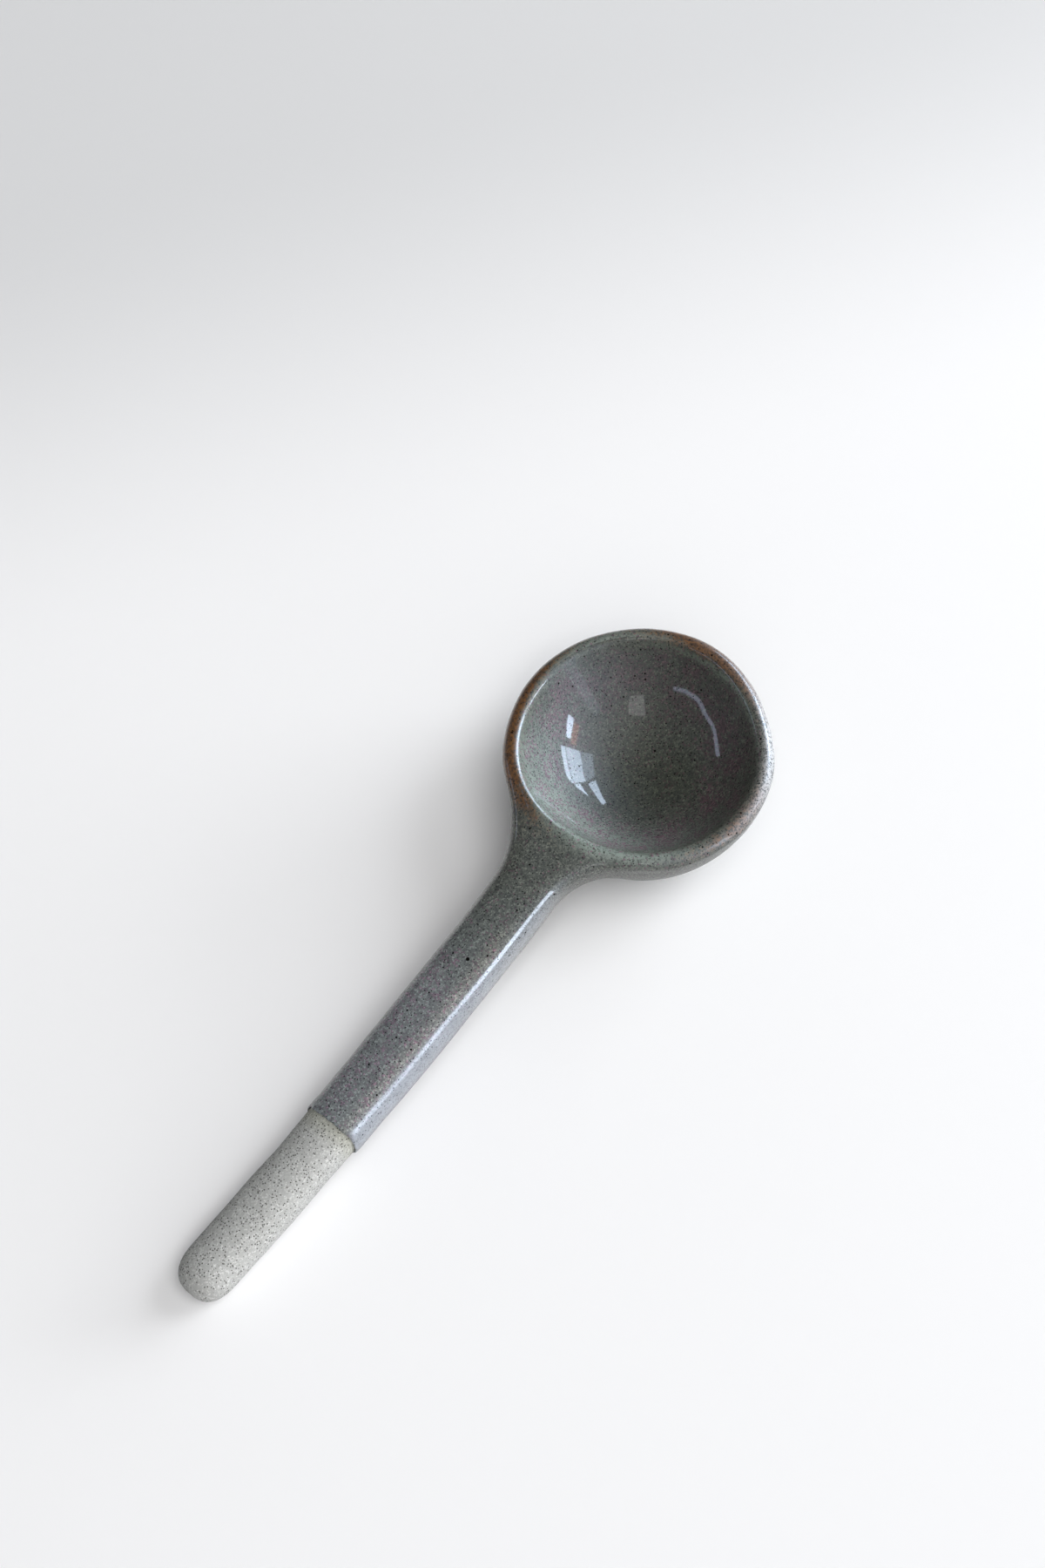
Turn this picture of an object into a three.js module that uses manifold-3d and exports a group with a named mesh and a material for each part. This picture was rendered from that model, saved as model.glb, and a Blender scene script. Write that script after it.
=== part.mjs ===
// Hand-built stoneware spoon. A round bowl is pinched from a ball of clay, a rolled coil is luted to its
// wall as the handle, and the join is filled and worked smooth. The bowl and most of the handle are dipped
// in one glaze. The end of the handle and the foot under the bowl stay bare clay.
// Millimetres, +Z up. The origin is the middle of the foot on the table, and +X runs to the handle's end.
import * as THREE from 'three';
import { mergeVertices } from 'three/addons/utils/BufferGeometryUtils.js';
import Module from 'manifold-3d';

const wasm = await Module();
wasm.setup();

// Bowl, measured over the glaze. Each wall follows an ellipse, and its turn is the angle on that ellipse, in
// degrees, at which the wall leaves the rim. The outer ellipse would close under the table by the foot's sink.
const bowlRadius = 23;
const bowlHeight = 20;
const rimWidth = 3.4;
const floorThickness = 8;
const footSink = 2;
const innerTurn = 38;
const outerTurn = 4;

// Handle, with its width and thickness at the neck measured over the glaze and at the tip on bare clay
const handleReach = 115.5;
const handleWidth = 10.9;
const handleThickness = 9;
const tipWidth = 9.6;
const tipThickness = 8;
const tipRounding = 5.5;
const tipBluntness = 2.4;
const handleBow = 0.7;
const handleSag = 0.8;
const neckDrop = 0.3;
const leftSquareness = 2.9;
const rightSquareness = 4.4;
const tipSquareness = 2.3;

// Join between handle and bowl, with left and right as the hand that holds the spoon has them
const leftFillet = 19;
const rightFillet = 14;
const underFillet = 12;
const rootSquareness = 2.6;
const slipThickness = 0.4;
const seamGap = 0.06;

// Glaze
const glazeThickness = 0.35;
const glazeGap = 0.05;
const bareLength = 34.3;
const dipLean = 2;
const dryFootHeight = 1.2;
const rimGlazeDepth = 2.2;

// Waves that the maker's fingers leave in the bowl: outward push and rise in mm, turned by degrees
const fingerWaves = [
  { lobes: 2, push: 0.1, rise: 0.15, turn: 30 },
  { lobes: 3, push: 0.31, rise: 0.2, turn: 77 },
  { lobes: 5, push: 0.2, rise: 0.1, turn: 39 },
];

// Facets
const turnFacets = 40;
const wallFacets = 8;
const rimOutsideFacets = 4;
const rimInsideFacets = 2;
const handleFacets = 20;
const neckRings = 8;
const shaftRings = 7;
const capRings = 6;

// Sizes that follow from the ones above
const coat = glazeThickness + glazeGap;
const rimHalf = rimWidth / 2;
const rimSpring = bowlHeight - rimHalf;
const innerRadius = bowlRadius - rimWidth;
const crestRadius = bowlRadius - rimHalf;
const neckHalfWidth = handleWidth / 2 - coat;
const neckTop = bowlHeight - neckDrop - coat;
const neckBottom = neckTop + 2 * coat - handleThickness;
const capStart = handleReach - tipRounding;
const dipPlace = handleReach - bareLength;

const { clamp, degToRad, lerp, radToDeg, smoothstep } = THREE.MathUtils;

// The ellipse of a wall that goes smoothly from the rounded rim down to a height on the axis. The side is 1
// outside the rim and -1 inside it.
function wallCurve(side, bottom, turn) {
  const start = degToRad(turn);
  const slope = ((rimSpring - bottom) / (crestRadius + side * rimHalf)) * (1 + 1 / Math.sin(start));
  const lean = Math.PI / 2 - Math.atan(slope);
  const startRadius = crestRadius + side * rimHalf * Math.cos(lean);
  const startHeight = rimSpring - side * rimHalf * Math.sin(lean);
  const halfWidth = startRadius / Math.cos(start);
  const halfHeight = (startHeight - bottom) / (1 - Math.sin(start));
  return { lean: radToDeg(lean), turn, halfWidth, halfHeight, middle: bottom + halfHeight };
}

const innerCurve = wallCurve(-1, floorThickness, innerTurn);
const outerCurve = wallCurve(1, -footSink, outerTurn);

// Radius of the bowl's outer wall at a height
function outerRadius(height) {
  const rise = clamp((outerCurve.middle - height) / outerCurve.halfHeight, 0, 1);
  return outerCurve.halfWidth * Math.sqrt(1 - rise ** 2);
}

// A fillet that touches the bowl's wall, taken as round, and a line of the handle on its other side. It slides
// in by its slide for each millimetre that the wall draws in.
function filletBetween(wallRadius, lineOffset, radius) {
  const reach = wallRadius + radius;
  const centre = Math.sqrt(reach ** 2 - (lineOffset + radius) ** 2);
  return { radius, centre, touch: (centre * wallRadius) / reach, slide: reach / centre };
}

const leftSide = filletBetween(bowlRadius, neckHalfWidth + coat, leftFillet);
const rightSide = filletBetween(bowlRadius, neckHalfWidth + coat, rightFillet);
const underHeight = neckBottom / 2;
const underReach = Math.hypot(outerRadius(underHeight), rimSpring - underHeight);
const underside = filletBetween(underReach, rimSpring - neckBottom + coat, underFillet);
const neckEnd = Math.max(leftSide.centre, rightSide.centre);
const neckStart = Math.min(leftSide.touch, rightSide.touch);

// Moves a geometry's points by the finger waves, fading towards the foot and along the handle
function pinch(geometry) {
  const place = geometry.attributes.position;
  for (let i = 0; i < place.count; i += 1) {
    const x = place.getX(i);
    const y = place.getY(i);
    const z = place.getZ(i);
    const radius = Math.hypot(x, y);
    const angle = Math.atan2(y, x);
    const height = clamp(z / bowlHeight, 0, 1) ** 2;
    const near = 1 - smoothstep(radius, bowlRadius, 2 * bowlRadius);
    let push = 0;
    let rise = 0;
    for (const wave of fingerWaves) {
      const swing = Math.cos(wave.lobes * (angle - degToRad(wave.turn)));
      push += wave.push * swing;
      rise += wave.rise * swing;
    }
    const spread = 1 + (height * near * push) / bowlRadius;
    place.setXYZ(i, x * spread, y * spread, z + height * near * rise);
  }
  return geometry;
}

// A closed geometry as a solid that can be joined and cut
function solid(geometry) {
  const bare = geometry.clone();
  bare.deleteAttribute('normal');
  bare.deleteAttribute('uv');
  const merged = mergeVertices(bare);
  const vertProperties = new Float32Array(merged.attributes.position.array);
  const triVerts = new Uint32Array(merged.index.array);
  return new wasm.Manifold(new wasm.Mesh({ numProp: 3, vertProperties, triVerts }));
}

// A profile of [radius, height] points turned about the bowl's axis
function turned(profile) {
  const points = profile.map(([radius, height]) => new THREE.Vector2(radius, height));
  const geometry = new THREE.LatheGeometry(points, turnFacets);
  geometry.rotateX(Math.PI / 2);
  return solid(pinch(geometry));
}

// Points of an elliptical arc, from one angle to another in degrees
function arc(centre, halfWidth, halfHeight, from, to, steps) {
  const points = [];
  for (let i = 0; i <= steps; i += 1) {
    const angle = degToRad(from + ((to - from) * i) / steps);
    points.push([centre[0] + halfWidth * Math.cos(angle), centre[1] + halfHeight * Math.sin(angle)]);
  }
  return points;
}

// Inner wall of the bowl from the rim down to the middle of the floor, sunk into the clay by inset
function innerWall(inset) {
  const { turn, halfWidth, halfHeight, middle } = innerCurve;
  const points = arc([0, middle], halfWidth + inset, halfHeight + inset, -turn, -90, wallFacets);
  points[points.length - 1][0] = 0;
  return points;
}

// Outer wall of the bowl from the edge of the foot up to the rim, sunk by inset
function outerWall(inset) {
  const { turn, halfWidth, halfHeight, middle } = outerCurve;
  const footTurn = radToDeg(Math.asin(middle / (halfHeight - inset)));
  return arc([0, middle], halfWidth - inset, halfHeight - inset, -footTurn, -turn, wallFacets);
}

// The rounded rim from the end of the outer wall to the crest
function rimOutside(inset) {
  const radius = rimHalf - inset;
  return arc([crestRadius, rimSpring], radius, radius, -outerCurve.lean, 90, rimOutsideFacets).slice(1);
}

// The rounded rim from the crest to the start of the inner wall
function rimInside(inset) {
  const radius = rimHalf - inset;
  const last = 180 - innerCurve.lean;
  return arc([crestRadius, rimSpring], radius, radius, 90, last, rimInsideFacets).slice(0, -1);
}

// The whole bowl, its skin sunk by inset, with its foot always on the table
function bowlBody(inset) {
  const rim = [...rimOutside(inset), ...rimInside(inset).slice(1)];
  return turned([[0, 0], ...outerWall(inset), ...rim, ...innerWall(inset)]);
}

// The hollow of the bowl up to the crest of its rim and on upwards
function bowlHollow(inset) {
  const wall = innerWall(inset).reverse();
  const rim = rimInside(inset).reverse();
  const above = 2 * bowlHeight;
  return turned([...wall, ...rim, [crestRadius, above], [0, above]]);
}

// The bowl as if it were filled to the crest of its rim, for cutting what is set against its outside
function bowlPlug(inset) {
  return turned([[0, 0], ...outerWall(inset), ...rimOutside(inset), [0, bowlHeight - inset]]);
}

// How far a fillet stands out from the handle at x, for a skin sunk by inset
function flare(x, fillet, inset) {
  const run = Math.max(0, fillet.centre - Math.max(x, fillet.touch));
  const radius = fillet.radius + inset;
  return radius - Math.sqrt(radius ** 2 - run ** 2);
}

// The handle's section at x: its middle, heights, half widths, fillets and how square its corners are
function handleSection(x, inset, flared) {
  const along = clamp((capStart - x) / (capStart - bowlRadius), 0, 1);
  const midway = 4 * along * (1 - along);
  const cover = coat - inset;
  const halfWidth = lerp(tipWidth / 2, neckHalfWidth, along) + cover;
  const leftCorner = lerp(tipSquareness, leftSquareness, along);
  const rightCorner = lerp(tipSquareness, rightSquareness, along);
  const section = {
    middle: handleBow * midway,
    top: lerp(tipThickness, neckTop, along) - handleSag * midway + cover,
    bottom: neckBottom * along - handleSag * midway - cover,
    left: { width: halfWidth, fillet: leftSide, upper: leftCorner, lower: leftCorner },
    right: { width: halfWidth, fillet: rightSide, upper: rightCorner, lower: rightCorner },
  };
  section.widest = (section.top + section.bottom) / 2;
  if (flared) {
    const share = clamp((neckEnd - x) / (neckEnd - neckStart), 0, 1) ** 2;
    section.left.lower = lerp(leftCorner, rootSquareness, share);
    section.right.lower = lerp(rightCorner, rootSquareness, share);
    section.bottom -= flare(x, underside, inset);
    section.widest = lerp(section.widest, rimSpring, share);
  }
  return section;
}

// One ring of points around the handle at x
function handleRing(x, inset, flared) {
  const section = handleSection(x, inset, flared);
  const capRun = Math.max(0, (x - capStart) / tipRounding);
  const cap = Math.max(0, 1 - capRun ** tipBluntness) ** (1 / tipBluntness);
  const ring = [];
  for (let i = 0; i < handleFacets; i += 1) {
    const angle = (2 * Math.PI * i) / handleFacets;
    const flank = Math.cos(angle) >= 0 ? section.right : section.left;
    const isUpper = Math.sin(angle) >= 0;
    const power = 2 / (isUpper ? flank.upper : flank.lower);
    const rise = isUpper ? section.top - section.widest : section.widest - section.bottom;
    const across = Math.sign(Math.cos(angle)) * Math.abs(Math.cos(angle)) ** power;
    const up = Math.sign(Math.sin(angle)) * Math.abs(Math.sin(angle)) ** power;
    const z = section.widest + rise * cap * up;
    const drawnIn = Math.max(0, bowlRadius - outerRadius(z));
    const flareWidth = flared ? flare(x + drawnIn * flank.fillet.slide, flank.fillet, inset) : 0;
    const y = section.middle + (flank.width + flareWidth) * cap * across;
    ring.push(new THREE.Vector3(x, y, z));
  }
  return ring;
}

function ringMiddle(ring) {
  const middle = new THREE.Vector3();
  ring.forEach((point) => middle.addScaledVector(point, 1 / ring.length));
  return middle;
}

// A closed skin through rings of points, closed at each end by a fan to a point
function loft(rings, firstPoint, lastPoint) {
  const count = rings[0].length;
  const points = rings.flat();
  const index = [];
  for (let r = 0; r + 1 < rings.length; r += 1) {
    for (let i = 0; i < count; i += 1) {
      const a = r * count + i;
      const b = r * count + ((i + 1) % count);
      index.push(a, b, a + count, b, b + count, a + count);
    }
  }
  const last = points.length - count;
  points.push(firstPoint, lastPoint);
  for (let i = 0; i < count; i += 1) {
    const next = (i + 1) % count;
    index.push(last + count, next, i);
    index.push(last + count + 1, last + i, last + next);
  }
  const geometry = new THREE.BufferGeometry().setFromPoints(points);
  geometry.setIndex(index);
  return geometry;
}

// The handle from inside the bowl's wall to its rounded end, its skin sunk by inset
function handleBody(inset, flared) {
  const places = [];
  const root = innerRadius / 2;
  for (let i = 0; i < neckRings; i += 1) {
    places.push(lerp(root, neckEnd, i / neckRings));
  }
  for (let i = 0; i < shaftRings; i += 1) {
    places.push(lerp(neckEnd, capStart, i / shaftRings));
  }
  for (let i = 0; i < capRings; i += 1) {
    places.push(capStart + tipRounding * Math.sin((Math.PI / 2) * (i / capRings)));
  }
  const rings = places.map((x) => handleRing(x, inset, flared));
  const rootPoint = ringMiddle(rings[0]);
  const tipPoint = ringMiddle(rings.at(-1)).setX(handleReach);
  return solid(pinch(loft(rings, rootPoint, tipPoint)));
}

// The whole spoon, its skin sunk by inset, with the flared neck worked over the plain coil
function spoonBody(inset) {
  const wallMiddle = inset + rimHalf / 2;
  const neckAndCoil = handleBody(inset, true).add(handleBody(inset, false));
  return neckAndCoil.subtract(bowlHollow(wallMiddle)).add(bowlBody(inset));
}

// Everything past the dip line, which leans with the spoon as it hung over the glaze
function pastDipLine() {
  const size = 2 * handleReach;
  const geometry = new THREE.BoxGeometry(size, size, size);
  geometry.translate(size / 2, 0, 0);
  geometry.rotateY(degToRad(dipLean));
  geometry.translate(dipPlace, 0, handleThickness);
  return solid(geometry);
}

// A ring about the bowl's axis with a square section
function collar(insideRadius, outsideRadius, low, high) {
  return turned([
    [insideRadius, low],
    [outsideRadius, low],
    [outsideRadius, high],
    [insideRadius, high],
    [insideRadius, low],
  ]);
}

// A round block about the bowl's axis
function block(radius, low, high) {
  return turned([[0, low], [radius, low], [radius, high], [0, high]]);
}

// Clay pieces
const bowl = bowlBody(coat);
const coil = handleBody(coat, false);
const slipBottom = coat - seamGap;
const slipTop = slipBottom - slipThickness;
const handle = coil.subtract(bowlPlug(slipTop - seamGap));
const slipSeam = coil.intersect(bowlPlug(slipTop)).subtract(bowlPlug(slipBottom));
const coilRoom = handleBody(coat - seamGap, false);
const neckFill = handleBody(coat, true).subtract(coilRoom).subtract(bowlPlug(slipBottom));

// The glaze coat, held as four zones that meet edge to edge
const dryFoot = block(bowlRadius, -dryFootHeight, dryFootHeight);
const coatAll = spoonBody(0).subtract(spoonBody(glazeThickness)).subtract(dryFoot);
const rimZoneLow = bowlHeight - rimGlazeDepth;
const rimZone = collar(innerRadius - rimWidth, bowlRadius + rimHalf, rimZoneLow, 2 * bowlHeight);
const liningZone = bowlHollow(rimHalf / 2);
const wallZone = bowlBody(-glazeThickness);
const rimGlaze = coatAll.intersect(rimZone);
const belowRim = coatAll.subtract(rimZone);
const liningGlaze = belowRim.intersect(liningZone);
const outside = belowRim.subtract(liningZone);
const outerGlaze = outside.intersect(wallZone);
const handleGlaze = outside.subtract(wallZone).subtract(pastDipLine());

// Finishes
const clay = { color: 0xb4b2ab, roughness: 0.9, metalness: 0 };
const wetSlip = { color: 0xa09d95, roughness: 0.95, metalness: 0 };
const poolGlaze = { color: 0x66695f, roughness: 0.2, metalness: 0 };
const rimBreak = { color: 0x6e5236, roughness: 0.3, metalness: 0 };
const wallGlaze = { color: 0x6d6d66, roughness: 0.22, metalness: 0 };
const shaftGlaze = { color: 0x6b6869, roughness: 0.22, metalness: 0 };

const spoon = new THREE.Group();

function addPiece(name, body, finish) {
  const { vertProperties, triVerts } = body.getMesh();
  const geometry = new THREE.BufferGeometry();
  geometry.setAttribute('position', new THREE.BufferAttribute(new Float32Array(vertProperties), 3));
  geometry.setIndex(new THREE.BufferAttribute(new Uint32Array(triVerts), 1));
  geometry.computeVertexNormals();
  const mesh = new THREE.Mesh(geometry, new THREE.MeshStandardMaterial(finish));
  mesh.name = name;
  spoon.add(mesh);
}

addPiece('bowl', bowl, clay);
addPiece('handle', handle, clay);
addPiece('neck_fillet', neckFill, clay);
addPiece('slip_seam', slipSeam, wetSlip);
addPiece('lining_glaze', liningGlaze, poolGlaze);
addPiece('rim_glaze', rimGlaze, rimBreak);
addPiece('outer_glaze', outerGlaze, wallGlaze);
addPiece('handle_glaze', handleGlaze, shaftGlaze);

export default spoon;
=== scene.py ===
from math import asin, atan, atan2, copysign, cos, degrees, exp, hypot, pi, radians, sin, sqrt

import bmesh
import bpy
from mathutils import Matrix, Vector, noise


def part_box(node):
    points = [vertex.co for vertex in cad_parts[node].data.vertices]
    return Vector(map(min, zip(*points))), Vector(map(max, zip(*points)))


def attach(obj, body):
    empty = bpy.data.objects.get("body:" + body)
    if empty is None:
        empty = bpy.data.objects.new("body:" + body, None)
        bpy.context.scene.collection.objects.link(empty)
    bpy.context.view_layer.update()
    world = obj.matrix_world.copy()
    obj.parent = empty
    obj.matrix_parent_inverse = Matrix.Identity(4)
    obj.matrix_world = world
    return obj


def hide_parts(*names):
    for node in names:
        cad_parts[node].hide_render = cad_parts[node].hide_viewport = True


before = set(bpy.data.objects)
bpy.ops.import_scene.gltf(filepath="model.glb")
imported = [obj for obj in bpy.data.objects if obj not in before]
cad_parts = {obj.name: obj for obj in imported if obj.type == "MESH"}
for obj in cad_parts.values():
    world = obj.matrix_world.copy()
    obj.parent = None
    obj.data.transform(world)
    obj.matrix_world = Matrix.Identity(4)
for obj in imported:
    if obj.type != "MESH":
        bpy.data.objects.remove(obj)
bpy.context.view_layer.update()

# Shapes are built in millimetres and brought to metres when a piece is finished
mm = 0.001
sharpAngle = 50  # degrees between faces from which an edge stays crisp
weldGap = 0.001  # spun points this close become one
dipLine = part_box("handle_glaze")[1].x / mm
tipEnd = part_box("handle")[1].x / mm
print("frame loaded, dip line at", round(dipLine, 1), "mm and tip at", round(tipEnd, 1), "mm")

bowlForm = {
    "radius": 23.0,
    "height": 20.0,
    "rimWidth": 3.4,
    "floor": 8.0,
    "footSink": 2.0,  # how far under the table the outer wall's curve would close
    "innerTurn": 38,  # where each wall's ellipse leaves the rim, degrees
    "outerTurn": 4,
    "waves": [(2, 0.1, 0.15, 30), (3, 0.31, 0.2, 77), (5, 0.2, 0.1, 39)],  # lobes, push, rise, turn
    "neckLow": 6.4,  # height at which the neck leaves the wall
    "footRings": (0, 0.6, 0.95),  # shares of the foot's radius
    "columns": 40,
    "wallRows": 10,
    "rimRows": 8,
    "hollowRows": 9,
    "smoothing": 2,
}

handleForm = {
    "width": 10.9,
    "thickness": 9.0,
    "tipWidth": 9.6,
    "tipThickness": 8.0,
    "tipRounding": 5.5,
    "tipBluntness": 2.4,
    "bow": 0.7,
    "sag": 0.8,
    "neckDrop": 0.3,
    "leftSquareness": 2.9,
    "rightSquareness": 4.4,
    "tipSquareness": 2.3,
    "rootSquareness": 2.6,
    "leftFillet": 19.0,
    "rightFillet": 14.0,
    "underFillet": 12.0,
    "slip": 0.52,  # bed of slip between the root and the bowl
    "sunk": 0.2,  # how much slimmer the clay is kept under the glaze
    "tuck": 2.0,  # how far it keeps its full size inside the dip line
    "around": 24,
    "hiddenRings": 6,
    "bareRings": 20,
    "capRings": 5,
    "smoothing": 3,
}

# A coat of glaze over the clay, with the small gap that the frame keeps
coatForm = {
    "cover": 0.4,  # clay skin to glaze skin
    "thick": 0.34,
    "dryFoot": 1.2,  # bare height above the table
    "neckColumns": 4,  # each side of the handle's middle line
    "lowRows": 3,
    "neckRows": 5,
    "neckLoops": 6,
    "shaftLoops": 11,
    "lip": [(3.0, 0.0), (1.2, 0.05), (0.4, 0.03), (0.1, -0.05), (0.0, -0.16)],  # back, swell
    "wander": {"run": 0.16, "lobes": 3.0, "slice": 7.3, "finer": 3.0, "finerShare": 0.5},  # of the dip line
    "edgeBlend": (5.0, 0.3),  # back from the dip line, where the wander starts and where it is full
    "floorBlend": (4.0, 7.0),  # radii between which the hollow's set middle meets the smoothed skin
    "notch": {"angle": 152, "spread": 7, "depth": 0.5},  # a bite out of the dip line
    "smoothing": 2,
}

# What hands leave in soft clay: a slow wave and a quicker one, as (size, height)
handWaves = [(11.0, 0.16), (4.6, 0.05)]

cover = coatForm["cover"]
rimHalf = bowlForm["rimWidth"] / 2
spring = bowlForm["height"] - rimHalf
crest = bowlForm["radius"] - rimHalf
neckHalf = handleForm["width"] / 2 - cover
neckTop = bowlForm["height"] - handleForm["neckDrop"] - cover
neckBottom = neckTop + 2 * cover - handleForm["thickness"]
capStart = tipEnd - handleForm["tipRounding"]


def clamp(value, low=0.0, high=1.0):
    return max(low, min(high, value))


def mix(a, b, share):
    return a + (b - a) * share


def ease(value, start, end):
    share = clamp((value - start) / (end - start))
    return share * share * (3 - 2 * share)


def hump(value, middle, spread):
    return exp(-(((value - middle) / spread) ** 2))


def wallCurve(side, bottom, turn):
    # ellipse of a wall from the rounded rim down to a height on the axis, side 1 outside and -1 inside
    start = radians(turn)
    slope = (spring - bottom) / (crest + side * rimHalf) * (1 + 1 / sin(start))
    lean = pi / 2 - atan(slope)
    wide = (crest + side * rimHalf * cos(lean)) / cos(start)
    high = (spring - side * rimHalf * sin(lean) - bottom) / (1 - sin(start))
    return {"lean": degrees(lean), "turn": turn, "wide": wide, "high": high, "middle": bottom + high}


innerCurve = wallCurve(-1, bowlForm["floor"], bowlForm["innerTurn"])
outerCurve = wallCurve(1, -bowlForm["footSink"], bowlForm["outerTurn"])


def outerRadius(z):
    rise = clamp((outerCurve["middle"] - z) / outerCurve["high"])
    return min(bowlForm["radius"], outerCurve["wide"] * sqrt(1 - rise**2))


def outerTurn(z, inset=0.0):
    return -degrees(asin((outerCurve["middle"] - z) / (outerCurve["high"] - inset)))


def hollowHeight(reach):
    return innerCurve["middle"] - innerCurve["high"] * sqrt(1 - (reach / innerCurve["wide"]) ** 2)


def filletBetween(wallRadius, lineOffset, radius):
    # slide is how far the fillet moves in for each millimetre that the wall draws in
    reach = wallRadius + radius
    centre = sqrt(reach**2 - (lineOffset + radius) ** 2)
    return {"radius": radius, "centre": centre, "touch": centre * wallRadius / reach, "slide": reach / centre}


leftSide = filletBetween(bowlForm["radius"], neckHalf + cover, handleForm["leftFillet"])
rightSide = filletBetween(bowlForm["radius"], neckHalf + cover, handleForm["rightFillet"])
underReach = hypot(outerRadius(neckBottom / 2), spring - neckBottom / 2)
underSide = filletBetween(underReach, spring - neckBottom + cover, handleForm["underFillet"])
neckEnd = max(leftSide["centre"], rightSide["centre"])
neckStart = min(leftSide["touch"], rightSide["touch"])


def flare(x, fillet, lift):
    run = max(0.0, fillet["centre"] - max(x, fillet["touch"]))
    radius = fillet["radius"] + cover - lift
    return radius - sqrt(radius**2 - run**2)


def handleSection(x, lift, flared):
    # lift is how far the skin stands off the clay
    along = clamp((capStart - x) / (capStart - bowlForm["radius"]))
    midway = 4 * along * (1 - along)
    half = mix(handleForm["tipWidth"] / 2, neckHalf, along) + lift
    leftCorner = mix(handleForm["tipSquareness"], handleForm["leftSquareness"], along)
    rightCorner = mix(handleForm["tipSquareness"], handleForm["rightSquareness"], along)
    section = {
        "middle": handleForm["bow"] * midway,
        "top": mix(handleForm["tipThickness"], neckTop, along) - handleForm["sag"] * midway + lift,
        "bottom": neckBottom * along - handleForm["sag"] * midway - lift,
        "left": {"width": half, "fillet": leftSide, "upper": leftCorner, "lower": leftCorner},
        "right": {"width": half, "fillet": rightSide, "upper": rightCorner, "lower": rightCorner},
    }
    section["widest"] = (section["top"] + section["bottom"]) / 2
    if flared:
        share = clamp((neckEnd - x) / (neckEnd - neckStart)) ** 2
        section["left"]["lower"] = mix(leftCorner, handleForm["rootSquareness"], share)
        section["right"]["lower"] = mix(rightCorner, handleForm["rootSquareness"], share)
        section["bottom"] -= flare(x, underSide, lift)
        section["widest"] = mix(section["widest"], spring, share)
    return section


def flankWidth(flank, x, z, lift, flared):
    if not flared:
        return flank["width"]
    drawnIn = bowlForm["radius"] - outerRadius(z)
    return flank["width"] + flare(x + drawnIn * flank["fillet"]["slide"], flank["fillet"], lift)


def sectionPoint(x, angle, lift, flared=False):
    section = handleSection(x, lift, flared)
    capRun = clamp((x - capStart) / handleForm["tipRounding"])
    bluntness = handleForm["tipBluntness"]
    cap = (1 - capRun**bluntness) ** (1 / bluntness)
    flank = section["right" if cos(angle) >= 0 else "left"]
    isUpper = sin(angle) >= 0
    power = 2 / flank["upper" if isUpper else "lower"]
    rise = section["top"] - section["widest"] if isUpper else section["widest"] - section["bottom"]
    across = copysign(abs(cos(angle)) ** power, cos(angle))
    up = copysign(abs(sin(angle)) ** power, sin(angle))
    z = section["widest"] + rise * cap * up
    return Vector((x, section["middle"] + flankWidth(flank, x, z, lift, flared) * cap * across, z))


def sectionAngle(point, lift, flared=False):
    section = handleSection(point.x, lift, flared)
    across = point.y - section["middle"]
    flank = section["right" if across >= 0 else "left"]
    across /= flankWidth(flank, point.x, point.z, lift, flared)
    up = point.z - section["widest"]
    isUpper = up >= 0
    up /= section["top"] - section["widest"] if isUpper else section["widest"] - section["bottom"]
    power = flank["upper" if isUpper else "lower"] / 2
    return atan2(copysign(abs(up) ** power, up), copysign(abs(across) ** power, across))


def arcPoints(centreX, centreZ, wide, high, first, last, steps):
    points = []
    for step in range(steps + 1):
        angle = radians(first + (last - first) * step / steps)
        points.append(Vector((centreX + wide * cos(angle), 0, centreZ + high * sin(angle))))
    return points


def pinch(verts):
    # fingers push the bowl out of round, less towards the foot and along the handle
    for vert in verts:
        x, y, z = vert.co
        angle = atan2(y, x)
        share = clamp(z / bowlForm["height"]) ** 2
        share *= 1 - ease(hypot(x, y), bowlForm["radius"], 2 * bowlForm["radius"])
        push = 0.0
        rise = 0.0
        for lobes, out, lift, turn in bowlForm["waves"]:
            swing = cos(lobes * (angle - radians(turn)))
            push += out * swing
            rise += lift * swing
        spread = 1 + share * push / bowlForm["radius"]
        vert.co = (x * spread, y * spread, z + share * rise)


def handWave(point):
    return sum(height * noise.noise(point / size) for size, height in handWaves)


def spinProfile(bm, points):
    verts = [bm.verts.new(point) for point in points]
    edges = [bm.edges.new(pair) for pair in zip(verts, verts[1:])]
    bmesh.ops.spin(bm, geom=verts + edges, cent=(0, 0, 0), axis=(0, 0, 1), angle=2 * pi,
                   steps=bowlForm["columns"], use_merge=True)
    bmesh.ops.remove_doubles(bm, verts=bm.verts, dist=weldGap)
    bmesh.ops.recalc_face_normals(bm, faces=bm.faces)


def growLoop(bm, loop, place):
    # one more loop of faces on an open edge, each new vertex set by place
    grown = bmesh.ops.extrude_edge_only(bm, edges=loop)["geom"]
    loop = [e for e in grown if isinstance(e, bmesh.types.BMEdge) and e.is_boundary]
    for vert in {v for e in loop for v in e.verts}:
        vert.co = place(vert)
    return loop


def meshObject(name, bm):
    mesh = bpy.data.meshes.new(name)
    bm.to_mesh(mesh)
    bm.free()
    piece = bpy.data.objects.new(name, mesh)
    bpy.context.scene.collection.objects.link(piece)
    return piece


def applyModifiers(piece):
    bpy.context.view_layer.update()
    graph = bpy.context.evaluated_depsgraph_get()
    mesh = bpy.data.meshes.new_from_object(piece.evaluated_get(graph))
    piece.modifiers.clear()
    old = piece.data
    piece.data = mesh
    bpy.data.meshes.remove(old)
    mesh.name = piece.name


def smoothSkin(piece, levels):
    modifier = piece.modifiers.new("smooth", "SUBSURF")
    modifier.levels = levels
    modifier.render_levels = levels
    applyModifiers(piece)


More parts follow.
